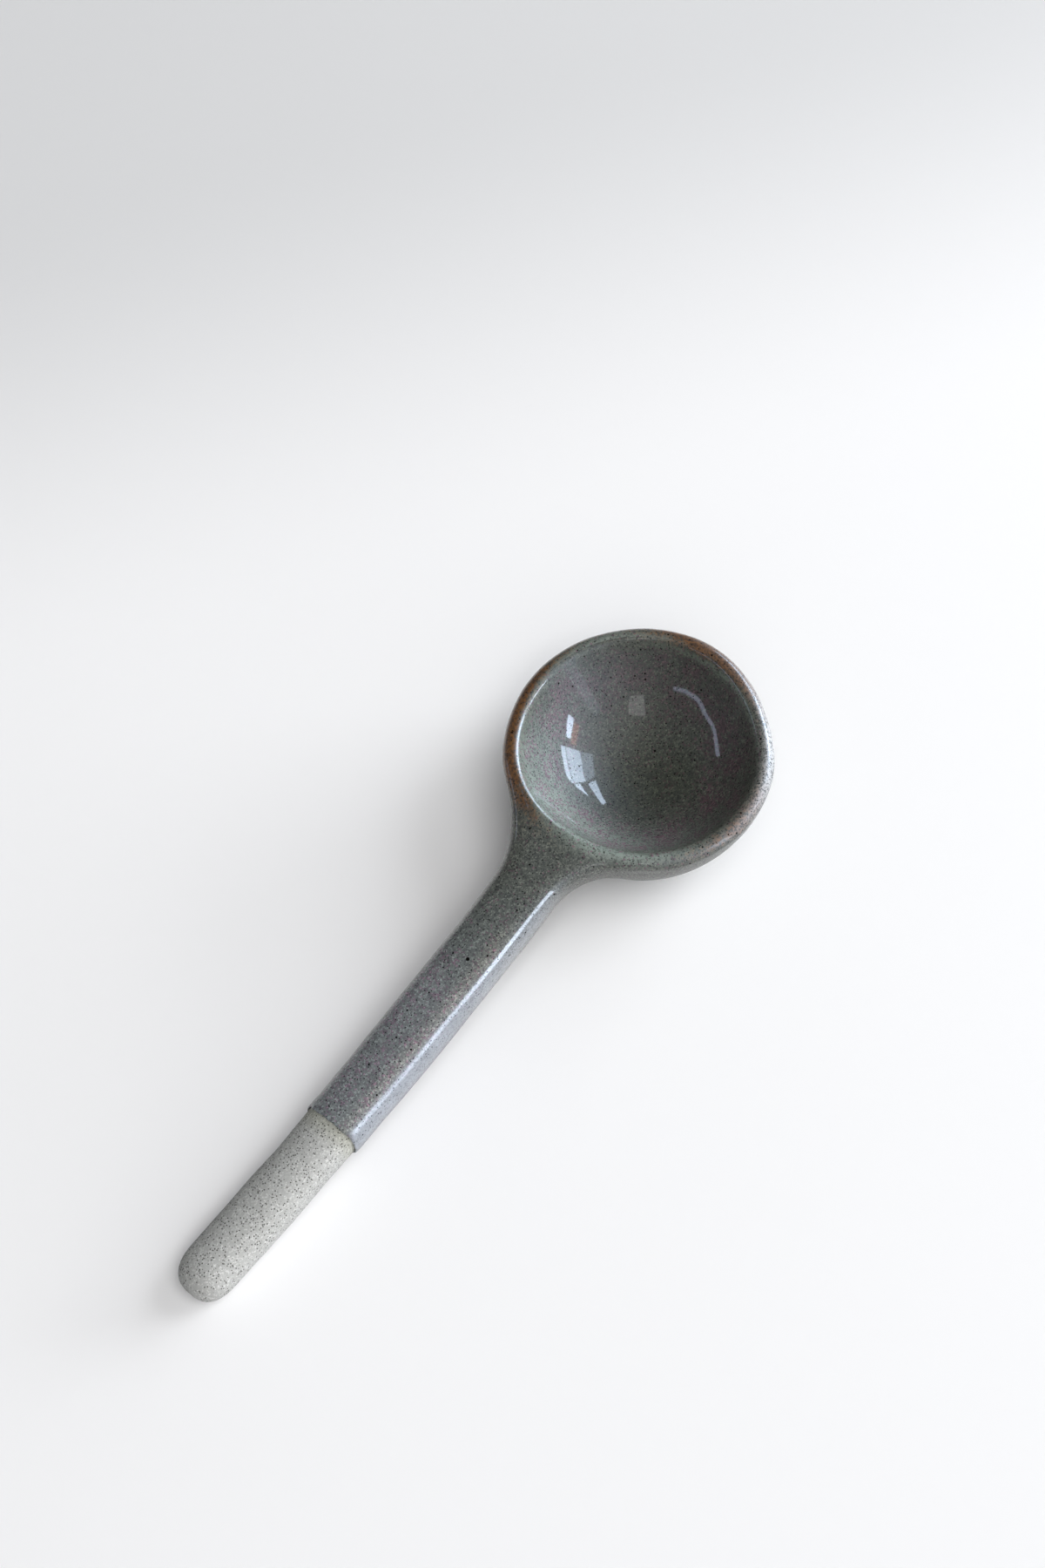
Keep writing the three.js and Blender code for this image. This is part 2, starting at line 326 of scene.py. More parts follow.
def pushSkin(mesh, height):
    # every vertex moves along its normal by what height gives for its place
    normals = [v.normal.copy() for v in mesh.vertices]
    for vert, normal in zip(mesh.vertices, normals):
        vert.co += normal * height(vert.co)


def finishPiece(piece, material, slotName, *nodes):
    # millimetres to metres, smooth faces with crisp edges, then onto the body
    piece.data.transform(Matrix.Scale(mm, 4))
    piece.data.shade_smooth()
    piece.data.set_sharp_from_angle(angle=radians(sharpAngle))
    piece.data.materials.clear()
    piece.data.materials.append(material)
    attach(piece, "root")
    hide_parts(*nodes)
    print(piece.name, len(piece.data.vertices), "vertices")


def setFloats(mesh, name, value):
    layer = mesh.attributes.new(name, "FLOAT", "POINT")
    layer.data.foreach_set("value", [value(v.co) for v in mesh.vertices])


# Node helpers, most of which return the socket that carries their result
def feed(tree, socket, value):
    if isinstance(value, bpy.types.NodeSocket):
        tree.links.new(value, socket)
    elif socket.type == "RGBA":
        socket.default_value = (*value, 1)
    else:
        socket.default_value = value


def addNode(tree, kind, inputs, **settings):
    made = tree.nodes.new("ShaderNode" + kind)
    for name, value in settings.items():
        setattr(made, name, value)
    for name, value in inputs.items():
        feed(tree, made.inputs[name], value)
    return made


def blend(tree, share, first, second, how="MIX"):
    made = addNode(tree, "Mix", {0: share, 6: first, 7: second}, data_type="RGBA", blend_type=how)
    return made.outputs[2]


def calc(tree, how, first, second=0.0):
    return addNode(tree, "Math", {0: first, 1: second}, operation=how).outputs[0]


def times(tree, first, second):
    return calc(tree, "MULTIPLY", first, second)


def ramp(tree, value, low, high, first=0.0, last=1.0):
    inputs = {"Value": value, "From Min": low, "From Max": high, "To Min": first, "To Max": last}
    return addNode(tree, "MapRange", inputs, interpolation_type="SMOOTHSTEP").outputs[0]


def painted(tree, name):
    return addNode(tree, "Attribute", {}, attribute_name=name).outputs["Fac"]


def cloud(tree, place, size, detail):
    inputs = {"Vector": place, "Scale": 1 / (size * mm), "Detail": detail}
    return addNode(tree, "TexNoise", inputs).outputs["Fac"]


def cells(tree, place, size):
    # speckles of about size millimetres: a random colour for each, and the distance to its middle
    return addNode(tree, "TexVoronoi", {"Vector": place, "Scale": 1 / (size * mm)}).outputs


def chance(tree, speckles, channel="Red"):
    # one random number for each speckle
    return addNode(tree, "SeparateColor", {"Color": speckles["Color"]}).outputs[channel]


def twoGrains(tree, place, coarse, finer, share):
    # the random numbers of coarse speckles, with those of finer ones worked in
    fine = chance(tree, cells(tree, place, finer))
    return calc(tree, "ADD", times(tree, coarse, share), times(tree, fine, 1 - share))


def dots(tree, place, gap, solid, fade, rarity, strength=1.0):
    # a round dot in some of the cells: solid out to one share of a cell's size, faded out at another
    speckles = cells(tree, place, gap)
    isDot = ramp(tree, speckles["Distance"], solid, fade, strength, 0.0)
    isPicked = calc(tree, "GREATER_THAN", chance(tree, speckles), rarity)
    return times(tree, isDot, isPicked)


def addBump(tree, height, strength, depth):
    return addNode(tree, "Bump", {"Height": height, "Strength": strength, "Distance": depth * mm}).outputs[0]


def newMaterial(name):
    material = bpy.data.materials.new(name)
    material.use_nodes = True
    tree = material.node_tree
    place = tree.nodes.new("ShaderNodeTexCoord").outputs["Object"]
    return material, tree, tree.nodes["Principled BSDF"], place


def setShader(tree, shader, values):
    for name, value in values.items():
        feed(tree, shader.inputs[name], value)


# Where the glaze's tones lie. Turns are degrees round the bowl from the handle. Leans are degrees over the
# rim, 0 on its outside and 90 on its crest. Heights and places along the handle are millimetres, and places
# across it are shares of its half width.
glazeTones = {
    "hollow": {"inside": 0.6, "under": 1.2},  # how far inside the crest, and how far into the skin
    "rim": {"low": -1.2, "high": 0.2, "sunk": 0.4, "neck": (23, 29)},  # fades in upwards, out at the neck
    # the iron's breaks are turn, reach and share, and patches on the rim turn, reach, lean, spread and share
    "iron": {"lean": 66, "spread": 48, "breaks": [(300, 42, 1.0), (178, 34, 1.0), (92, 36, 0.5)]},
    # painted highlight: a pale grainy band on the rim's right shoulder, where the light strikes it
    "paintedRimGlint": (127, 31, 48, 50, 1.0),
    # painted sheen: pale haze and highlights on parts of the rim, along the far inner rim and on the hollow's
    # near left wall
    "paintedSheenRim": [(24, 40, 100, 42, 0.85), (238, 40, 100, 42, 0.42), (322, 46, 140, 26, 0.8)],
    "paintedSheenLine": (172, 42, 140, 15, 0.5),
    "paintedSheenWall": {"turn": 352, "reach": 62, "rise": (9.5, 15), "share": 0.95},
    "mauveWall": {"rise": (10, 13), "fall": (17.5, 19), "least": 0.15, "added": 0.65, "hazed": 0.55},
    "mauveHandle": {"along": (32, 60), "least": 0.08, "added": 0.26},
    "mattHollow": {"turn": 254, "reach": (11, 21), "rise": (10, 11.5)},
    "mattWall": {"turn": 40, "reach": (45, 70), "top": (-1, 0.5), "neck": (24, 30), "share": 0.7},
    "mattShoulder": {"turn": 84, "reach": (30, 48), "lean": 40, "spread": 60, "share": 0.9},
    "satin": {"lean": 110, "spread": 70, "along": (30, 48), "share": 0.85},
    # glaze pooled dark on the hollow's floor, and painted shade on the floor and the far wall
    "poolAndShade": {"bottom": 8.5, "tops": (14, 11.5), "lowSide": (20, 70), "farSide": (207, 95), "share": 0.95},
    "thin": (30, 60),
    # painted reflection: a warm tint on the handle's top beside its right edge
    "paintedWarmReflection": {"rise": (0, 4), "across": 0.6, "spread": 0.25, "along": (36, 44)},
    # paler glaze where the handle's right edge thins it, with a painted highlight along that edge
    "edge": {"rise": (-3, 1), "toDip": (28, 75), "shares": (0.48, 0.85), "starts": (0.78, 0.55), "end": 0.96,
             "along": (26, 34)},
}


def turnBetween(first, second):
    return abs((first - second + 180) % 360 - 180)


def turnFrom(point, turn):
    return turnBetween(degrees(atan2(point.y, point.x)), turn)


def around(point, turn, reach):
    return hump(turnFrom(point, turn), 0, reach)


def within(point, turn, reach):
    # full as far as reach's first angle, gone at its second
    return 1 - ease(turnFrom(point, turn), *reach)


def inHollow(point):
    tone = glazeTones["hollow"]
    reach = hypot(point.x, point.y)
    return reach < crest - tone["inside"] and point.z > hollowHeight(reach) - tone["under"]


def onRim(point, lean, spread):
    tone = glazeTones["rim"]
    across = hypot(point.x, point.y) - crest
    isRim = ease(point.z, spring + tone["low"], spring + tone["high"]) * (1 - ease(point.x, *tone["neck"]))
    return isRim * hump(degrees(atan2(point.z - spring + tone["sunk"], across)), lean, spread)


def rimPatch(point, turn, reach, lean, spread, share):
    return share * around(point, turn, reach) * onRim(point, lean, spread)


def ironTone(point):
    tone = glazeTones["iron"]
    total = sum(share * around(point, turn, reach) for turn, reach, share in tone["breaks"])
    return clamp(total) * onRim(point, tone["lean"], tone["spread"])


# painted highlight on the rim's right shoulder
def paintedRimGlintTone(point):
    return rimPatch(point, *glazeTones["paintedRimGlint"])


# painted sheen and highlights, in the rim's patches and on the hollow's near left wall
def paintedSheenTone(point):
    if not inHollow(point):
        return max(rimPatch(point, *patch) for patch in glazeTones["paintedSheenRim"])
    tone = glazeTones["paintedSheenWall"]
    wall = tone["share"] * ease(point.z, *tone["rise"]) * around(point, tone["turn"], tone["reach"])
    return max(wall, rimPatch(point, *glazeTones["paintedSheenLine"]))


def mauveTone(point):
    if not inHollow(point):
        tone = glazeTones["mauveHandle"]
        return tone["least"] + tone["added"] * ease(point.x, *tone["along"])
    tone = glazeTones["mauveWall"]
    band = ease(point.z, *tone["rise"]) * (1 - ease(point.z, *tone["fall"]))
    return tone["least"] + (tone["added"] - tone["hazed"] * paintedSheenTone(point)) * band


def mattTone(point):
    # the gloss is gone far left in the hollow, on the near outer wall and on the rim's near right shoulder
    if inHollow(point):
        tone = glazeTones["mattHollow"]
        return ease(point.z, *tone["rise"]) * within(point, tone["turn"], tone["reach"])
    tone = glazeTones["mattWall"]
    isLow = 1 - ease(point.z, spring + tone["top"][0], spring + tone["top"][1])
    isBowl = 1 - ease(point.x, *tone["neck"])
    wall = tone["share"] * within(point, tone["turn"], tone["reach"]) * isLow * isBowl
    tone = glazeTones["mattShoulder"]
    shoulder = tone["share"] * within(point, tone["turn"], tone["reach"])
    return max(wall, shoulder * onRim(point, tone["lean"], tone["spread"]))


def satinTone(point):
    tone = glazeTones["satin"]
    rim = onRim(point, tone["lean"], tone["spread"]) * (1 - mattTone(point))
    return max(rim, tone["share"] * ease(point.x, *tone["along"]))


# pooled glaze on the hollow's floor, and painted shade there and on the far wall
def poolAndShadeTone(point):
    if not inHollow(point):
        return 0.0
    tone = glazeTones["poolAndShade"]
    top = mix(*tone["tops"], around(point, *tone["lowSide"]))
    return max(1 - ease(point.z, tone["bottom"], top), tone["share"] * around(point, *tone["farSide"]))


def thinTone(point):
    return ease(point.x, *glazeTones["thin"])


def acrossHandle(point):
    # how far across to the right, as a share of the half width
    section = handleSection(point.x, cover, False)
    return (point.y - section["middle"]) / section["right"]["width"]


def onTop(point, rise):
    # share that comes in between two heights, counted from the handle's widest place
    return ease(point.z - handleSection(point.x, cover, False)["widest"], *rise)


# painted reflection: warm, on the handle's top near its right edge
def paintedWarmReflectionTone(point):
    tone = glazeTones["paintedWarmReflection"]
    isRight = hump(acrossHandle(point), tone["across"], tone["spread"])
    return onTop(point, tone["rise"]) * isRight * ease(point.x, *tone["along"])


# thinner glaze and a painted highlight along the handle's right edge
def edgeTone(point):
    tone = glazeTones["edge"]
    toDip = ease(point.x, *tone["toDip"])
    isRight = ease(acrossHandle(point), mix(*tone["starts"], toDip), tone["end"])
    share = mix(*tone["shares"], toDip) * ease(point.x, *tone["along"])
    return share * onTop(point, tone["rise"]) * isRight


# Glossy grey-green glaze, speckled and peppered, with mauve flecks, and iron brown where the rim thins it
glazeLook = {
    "dark": (0.0105, 0.0118, 0.0095),
    "middle": (0.058, 0.0645, 0.0505),
    "light": (0.165, 0.177, 0.145),
    "paintedSheen": (0.288, 0.35, 0.315),  # painted sheen: pale haze and highlights on the hollow's near left wall and along parts of the rim
    "mauve": (1.02, 0.5, 0.76),  # tint of the flecks
    "poolAndShade": (0.56, 0.59, 0.5),  # glaze pooled on the hollow's floor, with painted shade on the floor and the far wall
    "thin": (2.5, 2.75, 3.15),  # tint along the handle
    "paintedWarmReflection": (1.42, 1.27, 1.18),  # painted reflection: a warm tint beside the handle's right edge
    "veil": (0.174, 0.171, 0.207),  # even grey over the handle's speckles
    "veilShare": 0.4,
    "edge": (0.35, 0.38, 0.44),  # paler glaze where the handle's right edge thins it, with a painted highlight along that edge
    "iron": (0.155, 0.066, 0.015),
    "ironDark": (0.03, 0.014, 0.006),
    "ironFleck": 0.22,
    "paintedRimGlint": (0.56, 0.58, 0.61),  # painted highlight: a pale grainy band on the rim's right shoulder
    "oxide": (0.012, 0.01, 0.008),  # pepper, spots and pinholes
    "speckle": 0.27,
    "finer": 0.162,
    "coarseShare": 0.62,
    "mottle": (4.5, 3.0),  # clouds are size and detail
    "patch": (2.2, 4.0),  # of the iron
    "pepper": {"gap": 0.55, "solid": 0.15, "fade": 0.3, "rarity": 0.35, "strength": 0.75},
    "spots": {"gap": 1.5, "solid": 0.084, "fade": 0.14, "rarity": 0.75},
    "spotShare": 0.95,
    "pinholes": [(47.14, 1.26, 15.97, 0.42), (-12.23, -10.31, 14.7, 0.2), (-12.98, -8.6, 14.35, 0.24),
                 (-8.76, -9.99, 12.51, 0.22), (-5.49, -0.45, 8.79, 0.26)],  # place, radius
    "pinholeCore": 0.55,
    "peel": (0.9, 2.0),  # faint dimples in the surface
    "peelShare": 0.5,
    "grainShare": 0.35,
    "bump": {"strength": 0.3, "depth": 0.05},
    "roughness": (0.6, 0.36),  # under the gloss, and where that is satin
    "mattShare": 0.94,
    "gloss": 0.06,
    "bodyIndex": 1.8,
    "coatIndex": 1.45,
}

# How shares of the glaze follow its grain, clouds or thinness: from, to, then the two shares if not 0 and 1
glazeSteps = {
    "middle": (0.08, 0.48),
    "light": (0.56, 0.95),
    "paintedSheen": (0.1, 0.6, 0.35, 1.0),
    "mauve": (0.35, 0.65, 0.25, 1.0),
    "edge": (0.1, 0.6, 0.5, 1.0),
    "shade": (0.25, 0.75, 0.9, 1.1),
    "patch": (0.3, 0.6, 0.55, 1.0),
    "iron": (0.2, 0.65),
    "ironLight": (0.15, 0.8),
    "paintedRimGlint": (0.2, 0.6, 0.15, 0.95),
    "coat": (0.2, 1.0, 1.0, 0.25),
}


def glazeGround(tree, place, speckles, grain):
    # speckled grey-green with its flecks and tints, with painted sheen, painted reflection and painted shade
    # among them
    look = glazeLook
    steps = glazeSteps
    mottle = cloud(tree, place, *look["mottle"])
    color = blend(tree, ramp(tree, grain, *steps["middle"]), look["dark"], look["middle"])
    color = blend(tree, ramp(tree, grain, *steps["light"]), color, look["light"])
    # painted sheen: pale haze and highlights laid into the colour
    isPaintedSheen = times(tree, painted(tree, "paintedSheen"), ramp(tree, grain, *steps["paintedSheen"]))
    color = blend(tree, isPaintedSheen, color, look["paintedSheen"])
    manyMauve = times(tree, painted(tree, "mauve"), ramp(tree, mottle, *steps["mauve"]))
    isMauve = calc(tree, "LESS_THAN", chance(tree, speckles, "Green"), manyMauve)
    color = blend(tree, isMauve, color, look["mauve"], "MULTIPLY")
    # the first tint holds pooled glaze with painted shade, the third a painted warm reflection
    for tint in ("poolAndShade", "thin", "paintedWarmReflection"):
        color = blend(tree, painted(tree, tint), color, look[tint], "MULTIPLY")
    color = blend(tree, times(tree, painted(tree, "thin"), look["veilShare"]), color, look["veil"])
    # paler glaze and a painted highlight along the handle's right edge
    isThinEdgeHighlight = times(tree, painted(tree, "edge"), ramp(tree, grain, *steps["edge"]))
    color = blend(tree, isThinEdgeHighlight, color, look["edge"])
    shade = ramp(tree, mottle, *steps["shade"])
    return addNode(tree, "VectorMath", {0: color, "Scale": shade}, operation="SCALE").outputs[0]


def glazeBreaks(tree, place, color, speckles, grain):
    # iron brown on the rim, and a painted highlight on its right shoulder
    look = glazeLook
    steps = glazeSteps
    patchy = ramp(tree, cloud(tree, place, *look["patch"]), *steps["patch"])
    isIron = times(tree, painted(tree, "iron"), patchy)
    flecked = calc(tree, "ADD", isIron, times(tree, chance(tree, speckles), look["ironFleck"]))
    iron = blend(tree, ramp(tree, grain, *steps["ironLight"]), look["ironDark"], look["iron"])
    color = blend(tree, ramp(tree, flecked, *steps["iron"]), color, iron)
    # painted highlight: pale grains on the rim's right shoulder
    isPaintedRimGlint = times(tree, painted(tree, "paintedRimGlint"), ramp(tree, grain, *steps["paintedRimGlint"]))
    return blend(tree, isPaintedRimGlint, color, look["paintedRimGlint"])


def glazeSpots(tree, place):
    # scattered spots, and the pinholes at their places
    look = glazeLook
    isSpot = dots(tree, place, **look["spots"])
    for x, y, z, radius in look["pinholes"]:
        gap = addNode(tree, "VectorMath", {0: place, 1: (x * mm, y * mm, z * mm)}, operation="DISTANCE")
        core = look["pinholeCore"] * radius * mm
        isSpot = calc(tree, "MAXIMUM", isSpot, ramp(tree, gap.outputs["Value"], core, radius * mm, 1.0, 0.0))
    return isSpot


def makeGlazeFinish():
    material, tree, shader, place = newMaterial("glaze")
    look = glazeLook
    speckles = cells(tree, place, look["speckle"])
    grain = twoGrains(tree, place, chance(tree, speckles), look["finer"], look["coarseShare"])
    color = glazeGround(tree, place, speckles, grain)
    color = glazeBreaks(tree, place, color, speckles, grain)
    isPepper = dots(tree, place, **look["pepper"])
    color = blend(tree, isPepper, color, look["oxide"])
    isSpot = glazeSpots(tree, place)
    color = blend(tree, times(tree, isSpot, look["spotShare"]), color, look["oxide"])

    # oxide is metallic and has no coat, so that no shine veils its dark colour
    isOxide = calc(tree, "MAXIMUM", isPepper, isSpot)
    noGloss = calc(tree, "MAXIMUM", times(tree, painted(tree, "matt"), look["mattShare"]), isOxide)
    coat = ramp(tree, painted(tree, "thin"), *glazeSteps["coat"])
    peel = times(tree, cloud(tree, place, *look["peel"]), look["peelShare"])
    height = calc(tree, "ADD", peel, times(tree, grain, look["grainShare"]))
    height = calc(tree, "SUBTRACT", height, isSpot)
    setShader(tree, shader, {
        "Base Color": color,
        "Metallic": isOxide,
        "Roughness": ramp(tree, painted(tree, "satin"), 0.0, 1.0, *look["roughness"]),
        "IOR": look["bodyIndex"],
        "Normal": addBump(tree, height, **look["bump"]),
        "Coat Weight": calc(tree, "SUBTRACT", coat, noGloss),
        "Coat Roughness": look["gloss"],
        "Coat IOR": look["coatIndex"],
    })
    print("glaze finish ready")
    return material


# Bare stoneware: pale, matt and gritty, stained a little by the glaze next to it
clayLook = {
    "body": (0.49, 0.49, 0.475),
    "pale": (0.74, 0.74, 0.72),
    "paleGrain": (0.5, 0.95),
    "grit": (0.09, 0.085, 0.075),
    "stain": (0.9, 0.9, 0.82),  # tint beside the dip line
    "stainRun": 4.0,
    "paintedShade": (0.68, 0.69, 0.69),  # painted shade: darker on the handle's left side, away from the light
    "paintedShadeAcross": (-0.6, 0.75),
    "grain": 0.26,
    "finer": 0.143,
    "coarseShare": 0.6,
    "gritDots": {"gap": 0.42, "solid": 0.2, "fade": 0.38},
    "gritRarity": (0.3, 0.7, 0.45, 0.15),  # by the mottle, from and to, and the rarity at each
    "gritShare": 0.95,
    "gritSink": 0.8,
    "mottle": (3.5, 3.0),  # size and detail
    "bareBlend": (-1.0, 0.5),  # past the dip line, where the grains and pits come in
    "grainHeight": 0.03,
    "pitDepth": 0.06,
    "pitGap": 1.3,
    "pitSize": (0.1, 0.28),
    "bump": {"strength": 0.5, "depth": 0.06},
    "roughness": (0.95, 0.8),
    "specular": 0.3,
}


def makeClayFinish():
    material, tree, shader, place = newMaterial("clay")
    look = clayLook
    speckles = cells(tree, place, look["grain"])
    grain = twoGrains(tree, place, chance(tree, speckles), look["finer"], look["coarseShare"])
    color = blend(tree, ramp(tree, grain, *look["paleGrain"]), look["body"], look["pale"])
    rarity = ramp(tree, cloud(tree, place, *look["mottle"]), *look["gritRarity"])
    isGrit = dots(tree, place, rarity=rarity, **look["gritDots"])
    color = blend(tree, times(tree, isGrit, look["gritShare"]), color, look["grit"])
    # stain is a real tint by the dip line; the other tint is painted shade on the clay's left side
    for tint in ("stain", "paintedShade"):
        color = blend(tree, painted(tree, tint), color, look[tint], "MULTIPLY")
    height = calc(tree, "SUBTRACT", grain, times(tree, isGrit, look["gritSink"]))
    setShader(tree, shader, {
        "Base Color": color,
        "Roughness": ramp(tree, grain, 0.0, 1.0, *look["roughness"]),
        "Specular IOR Level": look["specular"],
        "Normal": addBump(tree, height, **look["bump"]),
    })
    print("clay finish ready")
    return material


# Glaze skin: the bowl is spun, its wall is opened at the neck, and the opening's edge is drawn out
def glazeCage():
    bm = bmesh.new()
    angleLayer = bm.verts.layers.float.new("sectionAngle")
    startLayer = bm.verts.layers.float.new("neckStart")
    neckLow = bowlForm["neckLow"]
    neckTurn = outerTurn(neckLow)
    outer = 0, outerCurve["middle"], outerCurve["wide"], outerCurve["high"]
    inner = 0, innerCurve["middle"], innerCurve["wide"], innerCurve["high"]
    rim = crest, spring, rimHalf, rimHalf, -outerCurve["lean"], 180 - innerCurve["lean"]
    points = arcPoints(*outer, outerTurn(coatForm["dryFoot"]), neckTurn, coatForm["lowRows"])
    points += arcPoints(*outer, neckTurn, -outerCurve["turn"], coatForm["neckRows"])[1:]
    points += arcPoints(*rim, bowlForm["rimRows"])[1:]
    points += arcPoints(*inner, -innerCurve["turn"], -90, bowlForm["hollowRows"])[1:]
    points[-1].x = 0
    spinProfile(bm, points)

    halfOpening = 2 * pi * coatForm["neckColumns"] / bowlForm["columns"]
    opening = []
    for face in bm.faces:
        middle = face.calc_center_median()
        isOuter = face.normal.x * middle.x + face.normal.y * middle.y > 0
        if isOuter and middle.z > neckLow and abs(atan2(middle.y, middle.x)) < halfOpening:
            opening.append(face)
    bmesh.ops.delete(bm, geom=opening, context="FACES")

    slack = 0.1  # keeps the opening's own lowest edges in the loop
    loop = [e for e in bm.edges if e.is_boundary and min(v.co.z for v in e.verts) > neckLow - slack]
    for vert in {v for e in loop for v in e.verts}:
        vert[angleLayer] = sectionAngle(vert.co, cover, True)
        vert[startLayer] = vert.co.x

    def atNeck(vert):
        return sectionPoint(mix(vert[startLayer], neckEnd, share), vert[angleLayer], cover, True)

    for step in range(coatForm["neckLoops"]):
        share = (step + 1) / coatForm["neckLoops"]
        loop = growLoop(bm, loop, atNeck)
    shaftEnd = dipLine - coatForm["lip"][0][0]
    for step in range(1, coatForm["shaftLoops"]):
        x = mix(neckEnd, shaftEnd, step / coatForm["shaftLoops"])
        loop = growLoop(bm, loop, lambda v: sectionPoint(x, v[angleLayer], cover))
    for back, swell in coatForm["lip"]:
        loop = growLoop(bm, loop, lambda v: sectionPoint(dipLine - back, v[angleLayer], cover + swell))
    pinch(bm.verts)
    bmesh.ops.recalc_face_normals(bm, faces=bm.faces)
    return bm


def dipEdge(point):
    # how far the glaze runs past or stops short of the dip line
    section = handleSection(point.x, cover, False)
    angle = atan2(point.z - section["widest"], point.y - section["middle"])
    wander = coatForm["wander"]
    ring = Vector((wander["lobes"] * cos(angle), wander["lobes"] * sin(angle), wander["slice"]))
    run = wander["run"] * (noise.noise(ring) + wander["finerShare"] * noise.noise(wander["finer"] * ring))
    notch = coatForm["notch"]
    gap = turnBetween(degrees(angle), notch["angle"]) / notch["spread"]
    return run - notch["depth"] * exp(-(gap**4))


def makeGlaze(material):
    piece = meshObject("glaze_coat", glazeCage())
    smoothSkin(piece, coatForm["smoothing"])
    floorStart, floorEnd = coatForm["floorBlend"]
    edgeBack, edgeFull = coatForm["edgeBlend"]
    for vert in piece.data.vertices:
        reach = hypot(vert.co.x, vert.co.y)
        if inHollow(vert.co) and reach < floorEnd:  # the floor's middle follows the hollow's curve
            vert.co.z = mix(hollowHeight(reach), vert.co.z, ease(reach, floorStart, floorEnd))
        vert.co.x += ease(vert.co.x, dipLine - edgeBack, dipLine - edgeFull) * dipEdge(vert.co)
    pushSkin(piece.data, handWave)
    shell = piece.modifiers.new("shell", "SOLIDIFY")
    shell.thickness = coatForm["thick"]
    shell.offset = -1
    applyModifiers(piece)
    # several of these tones carry painted light: sheen, a rim highlight, a warm reflection, a highlight along
    # the handle's edge, and shade in the hollow
    tones = {"iron": ironTone, "paintedRimGlint": paintedRimGlintTone, "mauve": mauveTone, "paintedSheen": paintedSheenTone, "poolAndShade": poolAndShadeTone,
             "thin": thinTone, "paintedWarmReflection": paintedWarmReflectionTone, "edge": edgeTone, "matt": mattTone, "satin": satinTone}
    for name, tone in tones.items():
        setFloats(piece.data, name, tone)
    finishPiece(piece, material, "outer_glaze", "lining_glaze", "rim_glaze", "outer_glaze", "handle_glaze")


# Bowl of bare clay, seen only at its dry foot
def makeBowl(material):
    bm = bmesh.new()
    footTurn = outerTurn(0.0, cover)
    footRadius = (outerCurve["wide"] - cover) * cos(radians(footTurn))
    outer = 0, outerCurve["middle"], outerCurve["wide"] - cover, outerCurve["high"] - cover
    inner = 0, innerCurve["middle"], innerCurve["wide"] + cover, innerCurve["high"] + cover
    rim = crest, spring, rimHalf - cover, rimHalf - cover, -outerCurve["lean"], 180 - innerCurve["lean"]
    points = [Vector((share * footRadius, 0, 0)) for share in bowlForm["footRings"]]
    points += arcPoints(*outer, footTurn, -outerCurve["turn"], bowlForm["wallRows"])
    points += arcPoints(*rim, bowlForm["rimRows"])[1:]
    points += arcPoints(*inner, -innerCurve["turn"], -90, bowlForm["hollowRows"])[1:]
    points[-1].x = 0
    spinProfile(bm, points)
    pinch(bm.verts)
    piece = meshObject("clay_bowl", bm)
    smoothSkin(piece, bowlForm["smoothing"])
    for name in ("stain", "paintedShade"):
        setFloats(piece.data, name, lambda p: 0.0)
    finishPiece(piece, material, "bowl_clay", "bowl")


def clayGrit(point):
    # grains stand out and pits sink in where no glaze covers the clay
    bare = ease(point.x - dipLine, *clayLook["bareBlend"])
    grains = clayLook["grainHeight"] * noise.noise(point / clayLook["grain"])
    gap = noise.voronoi(point / clayLook["pitGap"])[0][0]
    pits = clayLook["pitDepth"] * (1 - ease(gap, *clayLook["pitSize"]))
    return handWave(point) + bare * (grains - pits)


def stainTone(point):
    return 1 - ease(point.x, dipLine, dipLine + clayLook["stainRun"])


# painted shade: full on the handle's left side, gone towards its right
def paintedShadeTone(point):
    return 1 - ease(acrossHandle(point), *clayLook["paintedShadeAcross"])


# Handle of clay, rolled by hand, its root shaped to the bowl
def makeHandle(material):
    bm = bmesh.new()
    angleLayer = bm.verts.layers.float.new("sectionAngle")
    bareStart = dipLine - handleForm["tuck"]
    bed = handleForm["slip"] - cover
    hidden = handleForm["hiddenRings"]
    bare = handleForm["bareRings"]
    caps = handleForm["capRings"]
    places = [mix(bowlForm["radius"] + bed, bareStart, i / hidden) for i in range(hidden)]
    places += [mix(bareStart, capStart, i / bare) for i in range(bare)]
    places += [capStart + handleForm["tipRounding"] * sin(pi / 2 * i / caps) for i in range(caps)]
    count = handleForm["around"]
    ring = bmesh.ops.create_circle(bm, cap_ends=True, segments=count, radius=1)["verts"]
    for i, vert in enumerate(ring):
        vert[angleLayer] = 2 * pi * i / count
        vert.co = sectionPoint(places[0], vert[angleLayer], -handleForm["sunk"])
        vert.co.x = sqrt((outerRadius(vert.co.z) + bed) ** 2 - vert.co.y**2)
    loop = [e for e in bm.edges if e.is_boundary]
    for x in places[1:]:
        lift = -handleForm["sunk"] if x < bareStart else 0
        loop = growLoop(bm, loop, lambda v: sectionPoint(x, v[angleLayer], lift))
    bmesh.ops.contextual_create(bm, geom=loop)
    bmesh.ops.poke(bm, faces=[f for f in bm.faces if len(f.verts) == count])
    bmesh.ops.recalc_face_normals(bm, faces=bm.faces)
    piece = meshObject("clay_handle", bm)
    smoothSkin(piece, handleForm["smoothing"])
    pushSkin(piece.data, clayGrit)
    setFloats(piece.data, "stain", stainTone)
    setFloats(piece.data, "paintedShade", paintedShadeTone)
    finishPiece(piece, material, "handle_clay", "handle")


